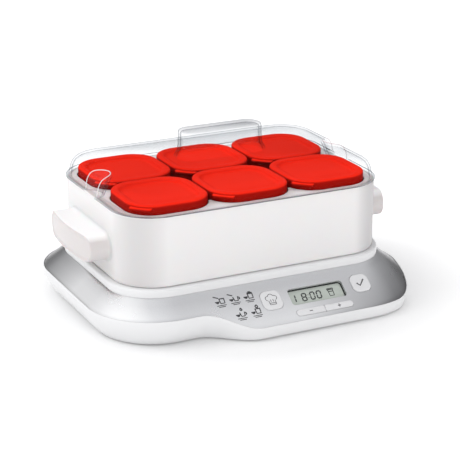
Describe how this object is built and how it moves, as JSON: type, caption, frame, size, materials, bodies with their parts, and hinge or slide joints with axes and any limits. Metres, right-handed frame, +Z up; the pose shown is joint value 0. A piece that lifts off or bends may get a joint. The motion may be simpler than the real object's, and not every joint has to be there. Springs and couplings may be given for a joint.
{
  "type": "yogurt maker",
  "caption": "Countertop yogurt maker: heated base with sloped display panel and buttons, lift-out tray with side handles, lidded glass jars and a clear cover with a raised grip",
  "frame": {"origin": "on the floor, in the middle of the base's footprint", "axes": "+X to the right seen from the control panel, +Y to the back, +Z up"},
  "size_m": [0.3116, 0.247, 0.161],
  "materials": {
    "white_plastic": "glossy moulded",
    "silver_panel": "satin metallic lacquer",
    "tray_plastic": "satin moulded",
    "red_lid": "soft satin",
    "jar_glass": "clear",
    "clear_cover": "clear moulded plastic",
    "button_white": "satin",
    "rubber_foot": "matte",
    "steel": "plain",
    "aluminium_plate": "satin",
    "fibre_pad": "fibrous",
    "circuit_board": "solder mask",
    "black_plastic": "matte",
    "element_alloy": "mica and alloy",
    "lens_clear": "clear",
    "lead_cover": "smooth"
  },
  "bodies": {
    "base": {"upper_housing": "white_plastic", "bottom_cover": "white_plastic", "terminal_block": "white_plastic", "deco_panel": "silver_panel", "foot_1": "rubber_foot", "bottom_screw_1": "steel", "foot_2": "rubber_foot", "bottom_screw_2": "steel", "foot_3": "rubber_foot", "bottom_screw_3": "steel", "foot_4": "rubber_foot", "bottom_screw_4": "steel", "heat_shield": "steel", "temperature_sensor": "steel", "thermal_fuse": "steel", "capacitor": "steel", "heater_plate": "aluminium_plate", "heating_element": "element_alloy", "insulation_pad": "fibre_pad", "control_board": "circuit_board", "power_board": "circuit_board", "lcd_module": "black_plastic", "buzzer": "black_plastic", "switch_program": "black_plastic", "switch_ok": "black_plastic", "switch_minus": "black_plastic", "switch_plus": "black_plastic", "transformer": "black_plastic", "relay": "black_plastic", "cord_inlet": "black_plastic", "lcd_window": "lens_clear", "ribbon_cable": "fibre_pad", "live_lead": "lead_cover", "neutral_lead": "lead_cover", "heater_lead_front": "lead_cover", "heater_lead_rear": "lead_cover"},
    "tray": {"jar_tray": "tray_plastic", "tray_handle_left": "tray_plastic", "tray_handle_right": "tray_plastic"},
    "clear_cover": {"cover": "clear_cover"},
    "glass_jar_1": {"jar_1": "jar_glass"},
    "lid_1": {"jar_lid_1": "red_lid"},
    "glass_jar_2": {"jar_2": "jar_glass"},
    "lid_2": {"jar_lid_2": "red_lid"},
    "glass_jar_3": {"jar_3": "jar_glass"},
    "lid_3": {"jar_lid_3": "red_lid"},
    "glass_jar_4": {"jar_4": "jar_glass"},
    "lid_4": {"jar_lid_4": "red_lid"},
    "glass_jar_5": {"jar_5": "jar_glass"},
    "lid_5": {"jar_lid_5": "red_lid"},
    "glass_jar_6": {"jar_6": "jar_glass"},
    "lid_6": {"jar_lid_6": "red_lid"},
    "program_button": {"button_program": "button_white"},
    "ok_button": {"button_ok": "button_white"},
    "minus_button": {"button_minus": "button_white"},
    "plus_button": {"button_plus": "button_white"}
  },
  "joints": [
    {"name": "tray_lift", "type": "slide", "parent": "base", "child": "tray", "axis": [0, 0, 1], "range_m": [0, 0.15]},
    {"name": "cover_lift", "type": "slide", "parent": "tray", "child": "clear_cover", "axis": [0, 0, 1], "range_m": [0, 0.12]},
    {"name": "jar_1_lift", "type": "slide", "parent": "tray", "child": "glass_jar_1", "axis": [0, 0, 1], "range_m": [0, 0.004]},
    {"name": "jar_lid_1_lift", "type": "slide", "parent": "glass_jar_1", "child": "lid_1", "axis": [0, 0, 1], "range_m": [0, 0.004]},
    {"name": "jar_2_lift", "type": "slide", "parent": "tray", "child": "glass_jar_2", "axis": [0, 0, 1], "range_m": [0, 0.004]},
    {"name": "jar_lid_2_lift", "type": "slide", "parent": "glass_jar_2", "child": "lid_2", "axis": [0, 0, 1], "range_m": [0, 0.004]},
    {"name": "jar_3_lift", "type": "slide", "parent": "tray", "child": "glass_jar_3", "axis": [0, 0, 1], "range_m": [0, 0.004]},
    {"name": "jar_lid_3_lift", "type": "slide", "parent": "glass_jar_3", "child": "lid_3", "axis": [0, 0, 1], "range_m": [0, 0.004]},
    {"name": "jar_4_lift", "type": "slide", "parent": "tray", "child": "glass_jar_4", "axis": [0, 0, 1], "range_m": [0, 0.004]},
    {"name": "jar_lid_4_lift", "type": "slide", "parent": "glass_jar_4", "child": "lid_4", "axis": [0, 0, 1], "range_m": [0, 0.004]},
    {"name": "jar_5_lift", "type": "slide", "parent": "tray", "child": "glass_jar_5", "axis": [0, 0, 1], "range_m": [0, 0.004]},
    {"name": "jar_lid_5_lift", "type": "slide", "parent": "glass_jar_5", "child": "lid_5", "axis": [0, 0, 1], "range_m": [0, 0.004]},
    {"name": "jar_6_lift", "type": "slide", "parent": "tray", "child": "glass_jar_6", "axis": [0, 0, 1], "range_m": [0, 0.004]},
    {"name": "jar_lid_6_lift", "type": "slide", "parent": "glass_jar_6", "child": "lid_6", "axis": [0, 0, 1], "range_m": [0, 0.004]},
    {"name": "program_press", "type": "slide", "parent": "base", "child": "program_button", "axis": [0, 0.6036, -0.7973], "range_m": [0, 0.0009], "stiffness_N_per_m": 400, "springref_m": -0.0006},
    {"name": "ok_press", "type": "slide", "parent": "base", "child": "ok_button", "axis": [0, 0.6036, -0.7973], "range_m": [0, 0.0009], "stiffness_N_per_m": 400, "springref_m": -0.0006},
    {"name": "minus_press", "type": "slide", "parent": "base", "child": "minus_button", "axis": [0, 0.6036, -0.7973], "range_m": [0, 0.0009], "stiffness_N_per_m": 400, "springref_m": -0.0006},
    {"name": "plus_press", "type": "slide", "parent": "base", "child": "plus_button", "axis": [0, 0.6036, -0.7973], "range_m": [0, 0.0009], "stiffness_N_per_m": 400, "springref_m": -0.0006}
  ]
}
